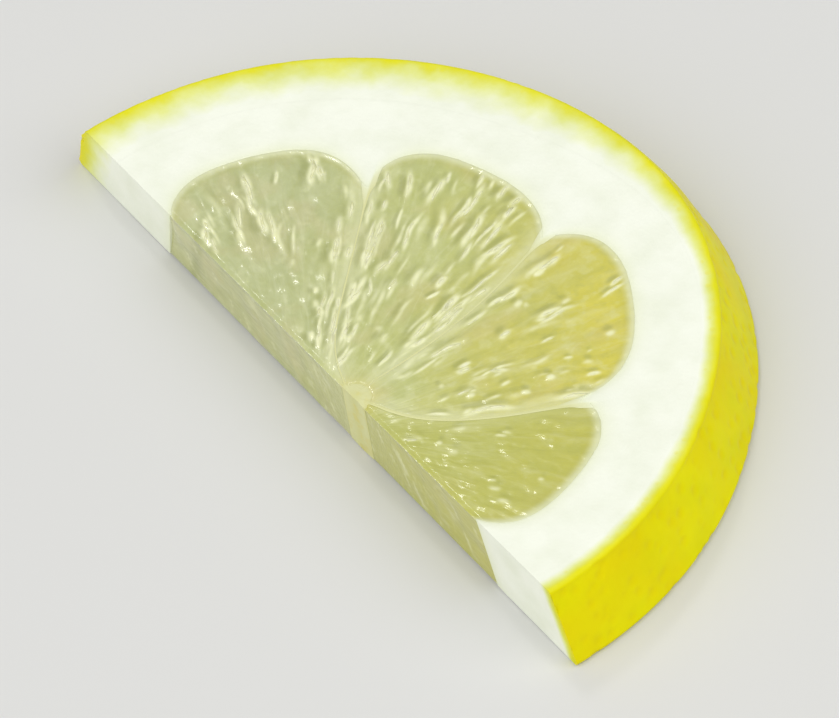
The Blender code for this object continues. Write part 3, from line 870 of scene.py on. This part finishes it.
for start, stop, most, code in ((0.52, 0.72, 0.20, "#E9E9C0"), (0.46, 0.30, 0.17, "#A8AC5E")):
    amount = add(tree, "ShaderNodeMapRange", {"Value": fibres, "From Min": start, "From Max": stop,
                                              "To Max": most}).outputs[0]
    body = add(tree, "ShaderNodeMix", {0: amount, 6: body, 7: linear(code)}, data_type="RGBA").outputs[2]
tree.links.new(body, shader.inputs["Base Color"])
bump = add(tree, "ShaderNodeBump", {"Height": fibres, "Strength": 0.30, "Distance": 0.00012})
tree.links.new(bump.outputs["Normal"], shader.inputs["Normal"])
wet = add(tree, "ShaderNodeTexNoise", {"Vector": fanned, "Scale": 1000.0 / FILM_SIZE, "Detail": 1.0})
wet = add(tree, "ShaderNodeBump", {"Height": wet.outputs["Fac"], "Strength": 0.40, "Distance": 0.0001})
tree.links.new(wet.outputs["Normal"], shader.inputs["Coat Normal"])
for socket, value in (
    ("Roughness", 0.34), ("IOR", 1.36), ("Coat Weight", 0.8), ("Coat Roughness", 0.13), ("Coat IOR", 1.36),
    ("Subsurface Weight", 0.25), ("Subsurface Radius", (1.0, 1.0, 0.6)), ("Subsurface Scale", 0.0005),
):
    shader.inputs[socket].default_value = value

sliver_rows = []
for k in range(4):
    faces_of = {}
    for upper in (True, False):
        sacs, marks = lay_sacs(k, 100 + 10 * k + upper), lay_marks(k, upper)
        faces_of[upper] = segment_face(k, upper, sacs, marks)
        for x, y, lean, half, wide, bright, _ in marks if upper else []:
            if bright > SLIVER_BRIGHTNESS and half > SLIVER_HALF_LENGTH:
                one = np.ones(1)
                drop = float(flesh_level(k, upper, x * one, y * one, one, sacs, [])[0][0])
                sliver_rows.append((x, y, thickness_at(x) - drop, lean, half, wide))
    (top, top_values), (bottom, bottom_values) = faces_of[True], faces_of[False]
    points, faces, walls = closed_grid(top, bottom, SEGMENT_WALLS)
    values = {key: spread_values(top_values[key], bottom_values[key], len(points), walls)
              for key in top_values}
    # where the upright cut runs through a segment, its wall is hollowed and lumpy, as juicy flesh is
    inner = walls[:, 1:-1]
    cut = np.abs(points[inner, 1]) < 0.03
    share = np.linspace(0.0, 1.0, walls.shape[1])[1:-1]
    hollow = CUT_WALL_HOLLOW * np.sqrt(np.sin(np.pi * share))[None, :]
    lumps = 1.0 + 0.7 * waves(points[inner, 0], points[inner, 2], 1.5, 61)
    lumps = lumps * smooth((np.abs(points[inner, 0] - CORE_X) - 1.5) / 5.0)
    points[inner, 1] += np.where(cut, hollow * lumps, 0.0)
    streaks = waves(points[inner, 0] + 0.4 * points[inner, 2], points[inner, 2] * 0.35, 0.8, 62)
    values["tone"][inner] = np.where(cut, 0.5 + 0.5 * streaks, values["tone"][inner])
    torn = waves(points[inner, 0] + 0.5 * points[inner, 2], points[inner, 2] * 0.45, 0.55, 63)
    torn = CUT_WALL_MARKS * smooth((torn - 0.40) / 0.5)
    values["pale"][inner] = np.where(cut, torn, values["pale"][inner])
    for key, number in (("wall", 0.4), ("side", 0.0), ("outer", 2.0), ("rib", 2.0), ("amber", 0.30)):
        values[key][inner] = np.where(cut, number, values[key][inner])
    segment = make_piece(f"segment_{k + 1}", points, faces, juice, values)
    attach(segment, "root")

# Torn sac walls. Slivers of the clear skins and stalks, which the knife pulled up out of the flesh: pale
# and wet, they lie along the sacs and stand a little proud. Each is sized as a share of its mark.
SLIVER_LENGTH = 0.7
SLIVER_WIDTH = 0.50
SLIVER_HEIGHT = 0.34
SLIVER_WAVINESS = 0.12
SLIVER_WAVE_SIZE = 1.43
sliver_rows = np.array(sliver_rows)
sliver_mesh = bpy.data.meshes.new("sliver_places")
sliver_mesh.from_pydata((sliver_rows[:, :3] * 0.001 + np.array(PLAN_SHIFT)).tolist(), [], [])
for key, column, unit in (("turn", 3, 1.0), ("half_length", 4, 0.001), ("half_width", 5, 0.001)):
    layer = sliver_mesh.attributes.new(key, "FLOAT", "POINT")
    layer.data.foreach_set("value", (sliver_rows[:, column] * unit).astype(np.float32))
sliver_places = bpy.data.objects.new("sliver_places", sliver_mesh)
bpy.context.scene.collection.objects.link(sliver_places)

# A torn wall is a thin wet skin over air, so it looks almost white and shines.
THIN_SPOT_SIZE = 0.667
sac_skin, tree, shader, place = start_material("torn_sac_skin")
thin = add(tree, "ShaderNodeTexNoise", {"Vector": place, "Scale": 1000.0 / THIN_SPOT_SIZE, "Detail": 2.0})
film = add(tree, "ShaderNodeValToRGB", {"Fac": thin.outputs["Fac"]}, ((0.35, "#E4E5A8"), (0.60, "#FAFAC8")))
tree.links.new(film.outputs["Color"], shader.inputs["Base Color"])
for socket, value in (
    ("Roughness", 0.38), ("IOR", 1.30), ("Subsurface Weight", 0.3), ("Subsurface Radius", (1.0, 1.0, 0.6)),
    ("Subsurface Scale", 0.0004),
):
    shader.inputs[socket].default_value = value

scatter = bpy.data.node_groups.new("lay torn sac walls", "GeometryNodeTree")
scatter.interface.new_socket("Places", in_out="INPUT", socket_type="NodeSocketGeometry")
sliver_inputs = {}
for label, number in (("Length", SLIVER_LENGTH), ("Width", SLIVER_WIDTH), ("Height", SLIVER_HEIGHT),
                      ("Waviness", 0.001 * SLIVER_WAVINESS)):
    socket = scatter.interface.new_socket(label, in_out="INPUT", socket_type="NodeSocketFloat")
    sliver_inputs[socket.identifier] = number
scatter.interface.new_socket("Slivers", in_out="OUTPUT", socket_type="NodeSocketGeometry")
given = add(scatter, "NodeGroupInput").outputs
named = {
    name: add(scatter, "GeometryNodeInputNamedAttribute", {"Name": name}, data_type="FLOAT").outputs[0]
    for name in ("turn", "half_length", "half_width")
}
sliver = add(scatter, "GeometryNodeMeshUVSphere", {"Segments": 6, "Rings": 7, "Radius": 1.0}).outputs[0]
turned = add(scatter, "GeometryNodeTransform",
             {"Geometry": sliver, "Rotation": (0.0, math.radians(90.0), 0.0)}).outputs[0]
half_sizes = [
    add(scatter, "ShaderNodeMath", {0: named[mark], 1: given[share]}, operation="MULTIPLY").outputs[0]
    for mark, share in (("half_length", "Length"), ("half_width", "Width"), ("half_width", "Height"))
]
sizes = add(scatter, "ShaderNodeCombineXYZ", dict(enumerate(half_sizes))).outputs[0]
facing = add(scatter, "ShaderNodeCombineXYZ", {2: named["turn"]}).outputs[0]
spots = add(scatter, "GeometryNodeMeshToPoints", {0: given["Places"]}).outputs[0]
laid = add(scatter, "GeometryNodeInstanceOnPoints", {"Points": spots, "Instance": turned, "Rotation": facing,
                                                     "Scale": sizes}).outputs[0]
real = add(scatter, "GeometryNodeRealizeInstances", {0: laid}).outputs[0]
where = add(scatter, "GeometryNodeInputPosition").outputs[0]
sway = add(scatter, "ShaderNodeTexNoise",
           {"Vector": where, "Scale": 1000.0 / SLIVER_WAVE_SIZE, "Detail": 1.0}).outputs["Color"]
sway = add(scatter, "ShaderNodeVectorMath", {0: sway, 1: (0.5, 0.5, 0.5)}, operation="SUBTRACT").outputs[0]
sway = add(scatter, "ShaderNodeVectorMath", {0: sway, 1: (4.0, 4.0, 0.6)}, operation="MULTIPLY").outputs[0]
sway = add(scatter, "ShaderNodeVectorMath", {0: sway, "Scale": given["Waviness"]}, operation="SCALE")
bent = add(scatter, "GeometryNodeSetPosition", {"Geometry": real, "Offset": sway.outputs[0]}).outputs[0]
rounded = add(scatter, "GeometryNodeSetShadeSmooth", {"Geometry": bent}).outputs[0]
finished = add(scatter, "GeometryNodeSetMaterial", {"Geometry": rounded, "Material": sac_skin}).outputs[0]
add(scatter, "NodeGroupOutput", {0: finished})
slivers = piece_from_nodes(sliver_places, scatter, sliver_inputs, "torn_sac_walls")
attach(slivers, "root")
